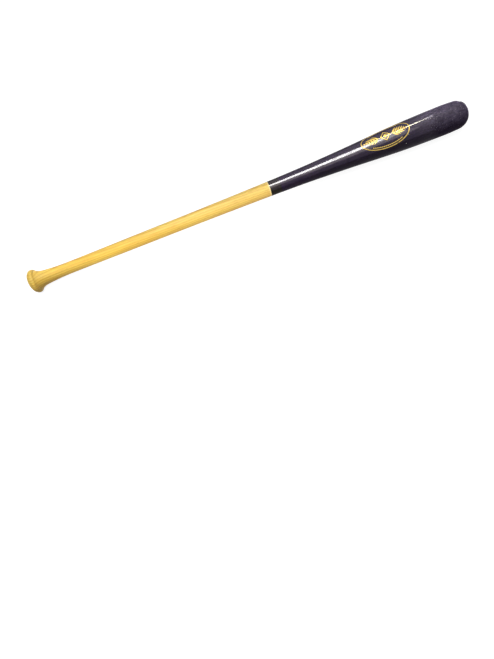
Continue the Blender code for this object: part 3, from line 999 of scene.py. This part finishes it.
foilGroup = foilTree()
labelMiddle = batLength - label["fromEnd"]
foilStrokes = {
    "label_ring": ringStroke(),
    "label_diamond": diamondStroke(),
    "label_diamond_core": coreStroke(),
    "label_sprig_handle_side": sprigStrokes(-1),
    "label_sprig_end_side": sprigStrokes(1),
    "label_garland_near": garlandStroke(-1),
    "label_garland_far": garlandStroke(1),
}
foil = []
for name, strokes in foilStrokes.items():
    piece = newPiece(name + "_foil", strokeMesh(name + "_strokes", strokes))
    runTree(piece, foilGroup, {
        "Lacquer": coat, "Middle": labelMiddle, "Round Radius": radiusAt(labelMiddle),
        "Across Points": label["acrossPoints"], "Thickness": label["thickness"],
        "Crown": label["crown"], "Lift": label["lift"], "Weld": label["weld"], "Finish": foilFinish})
    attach(piece, "root")
    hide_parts(name)
    foil.append(piece)
    print("%s: %d faces" % (piece.name, len(piece.data.polygons)))


# Floor, world and lights

studio = {
    "floorColour": (0.30, 0.30, 0.30),
    "floorRoughness": 0.9,
    "floorWhite": 0.935,       # added where the camera or a reflection looks
    "floorSize": 30.0,
    "floorGap": 0.0001,
    "worldLight": 0.14,
    "worldWhite": 1.0,
}
white = (1.0, 1.0, 1.0, 1.0)


def seenDirectly(tree):
    rays = tree.nodes.new("ShaderNodeLightPath").outputs
    return math1(tree, 'MAXIMUM', rays["Is Camera Ray"],
                 math1(tree, 'MAXIMUM', rays["Is Glossy Ray"], rays["Is Transmission Ray"]))


def makeFloor(values):
    # the bat lies on its knob's rim and its barrel, so the floor under it leans a little
    knob = max((ring for ring in outline if ring[0] < reading["knobReach"]), key=lambda ring: ring[1])
    barrel = max(outline, key=lambda ring: ring[1])
    lean = math.atan2(barrel[1] - knob[1], barrel[0] - knob[0])
    bpy.ops.mesh.primitive_plane_add(size=values["floorSize"])
    floor = bpy.context.object
    floor.name = "floor"
    floor.rotation_euler = (0.0, lean, 0.0)
    floor.location = (knob[0], 0.0, -knob[1] - values["floorGap"])
    material = bpy.data.materials.new("floor")
    material.use_nodes = True
    tree = material.node_tree
    feedAll(tree, tree.nodes["Principled BSDF"].inputs, {
        "Base Color": (*values["floorColour"], 1.0), "Roughness": values["floorRoughness"],
        "Specular IOR Level": 0.0, "Emission Color": white,
        "Emission Strength": times(tree, seenDirectly(tree), values["floorWhite"])})
    floor.data.materials.append(material)


def makeWorld(values):
    world = bpy.data.worlds.new("studio")
    world.use_nodes = True
    tree = world.node_tree
    feedAll(tree, tree.nodes["Background"].inputs, {
        "Color": white,
        "Strength": within(tree, seenDirectly(tree), (values["worldLight"], values["worldWhite"]))})
    bpy.context.scene.world = world


# Four soft lamps light the colours. The others are seen only as reflections: a long streak and
# the ceiling in the lacquer, and a fainter streak in the wood and the foil.

# each lamp's place, what it points at, its size, power, spread in degrees and colour
lamps = {
    "above": ((0.15, 0.0, 1.40), (0.20, 0.0, 0.0), (2.2, 0.7), 13.5, 180, (1.0, 1.0, 1.0)),
    "back": ((0.20, 0.50, 0.30), (0.20, 0.0, 0.0), (0.90, 0.25), 0.40, 180, (1.0, 1.0, 1.0)),
    "front": ((0.34, -0.37, 0.36), (0.34, 0.0, 0.0), (0.49, 0.20), 0.20, 26, (1.0, 0.95, 0.86)),
    "knob": ((0.04, 0.03, 0.62), (0.04, 0.0, 0.0), (0.20, 0.15), 0.042, 24, (1.0, 1.0, 1.0)),
}
# the surface that shows it, its two ends, width, radiance, colour and shape
reflected = {
    "streak": ("lacquer", (0.60, 0.22, 1.2), (1.10, 0.22, 1.2), 0.58, 150.0, (1.0, 0.99, 0.97), 'ELLIPSE'),
    "pool": ("lacquer", (0.82, 0.22, 1.2), (1.24, 0.26, 1.2), 0.75, 38.0, (1.0, 0.98, 0.98), 'ELLIPSE'),
    "glow": ("lacquer", (0.50, -0.08, 1.2), (1.22, -0.04, 1.2), 0.36, 19.0, (1.0, 0.93, 0.88), 'ELLIPSE'),
    "dimGlow": ("lacquer", (0.36, -0.30, 1.2), (1.34, -0.22, 1.2), 1.00, 10.5, (1.0, 0.90, 0.90), 'ELLIPSE'),
    "thread": ("lacquer", (1.12, 0.56, 1.2), (1.45, 0.71, 1.2), 0.15, 220.0, (1.0, 0.93, 0.74), 'RECTANGLE'),
    "haze": ("lacquer", (1.50, 0.80, 1.2), (2.10, 0.80, 1.2), 0.60, 58.0, (0.92, 0.86, 1.0), 'ELLIPSE'),
    "nearCeiling": ("lacquer", (-11.5, -5.3, 2.5), (12.5, -5.3, 2.5), 11.6, 2.4, (0.80, 0.70, 1.0),
                    'RECTANGLE'),
    "farCeiling": ("lacquer", (-11.5, 7.5, 2.5), (12.5, 7.5, 2.5), 14.0, 3.6, (0.80, 0.74, 1.0), 'RECTANGLE'),
    "woodGleam": ("wood", (0.0, -0.40, 1.2), (1.00, 0.20, 1.2), 0.36, 4.0, (1.0, 1.0, 1.0), 'RECTANGLE'),
    "knobGleam": ("wood", (0.00, 0.55, 1.2), (0.50, 0.55, 1.2), 0.30, 36.0, (1.0, 0.97, 0.92), 'ELLIPSE'),
    "foilGleam": ("foil", (0.70, 0.15, 1.2), (1.50, 0.60, 1.2), 0.50, 6.0, (1.0, 1.0, 1.0), 'RECTANGLE'),
}


def lightOnly(light, pieces):
    light.light_linking.receiver_collection = bpy.data.collections.new(light.name + " receivers")
    for piece in pieces:
        light.light_linking.receiver_collection.objects.link(piece)


def areaLight(name, place, target, along, size, power):
    data = bpy.data.lights.new(name, 'AREA')
    data.shape = 'RECTANGLE'
    data.size, data.size_y = size
    data.energy = power
    light = bpy.data.objects.new(name, data)
    light.location = place
    ahead = (Vector(target) - Vector(place)).normalized()
    side = (along - ahead * along.dot(ahead)).normalized()
    light.rotation_euler = Matrix((side, (-ahead).cross(side), -ahead)).transposed().to_euler()
    light.visible_camera = False
    bpy.context.scene.collection.objects.link(light)
    return light


def makeLights():
    for name, (place, target, size, power, spread, colour) in lamps.items():
        light = areaLight(name, place, target, Vector((1, 0, 0)), size, power)
        light.data.spread = math.radians(spread)
        light.data.color = colour
        light.visible_glossy = False
    surfaces = {"lacquer": [band, coat], "wood": [wood], "foil": foil}
    for name, (surface, start, end, width, radiance, colour, shape) in reflected.items():
        run = Vector(end) - Vector(start)
        middle = (Vector(start) + Vector(end)) / 2
        area = run.length * width * (math.pi / 4 if shape == 'ELLIPSE' else 1.0)
        light = areaLight(name, middle, (middle.x, middle.y, 0.0), run, (run.length, width),
                          radiance * math.pi * area)
        light.data.shape = shape
        light.data.color = colour
        light.visible_diffuse = False
        lightOnly(light, surfaces[surface])


makeFloor(studio)
makeWorld(studio)
makeLights()
print("studio: floor, world and lights")

bpy.context.scene.view_settings.view_transform = 'Standard'
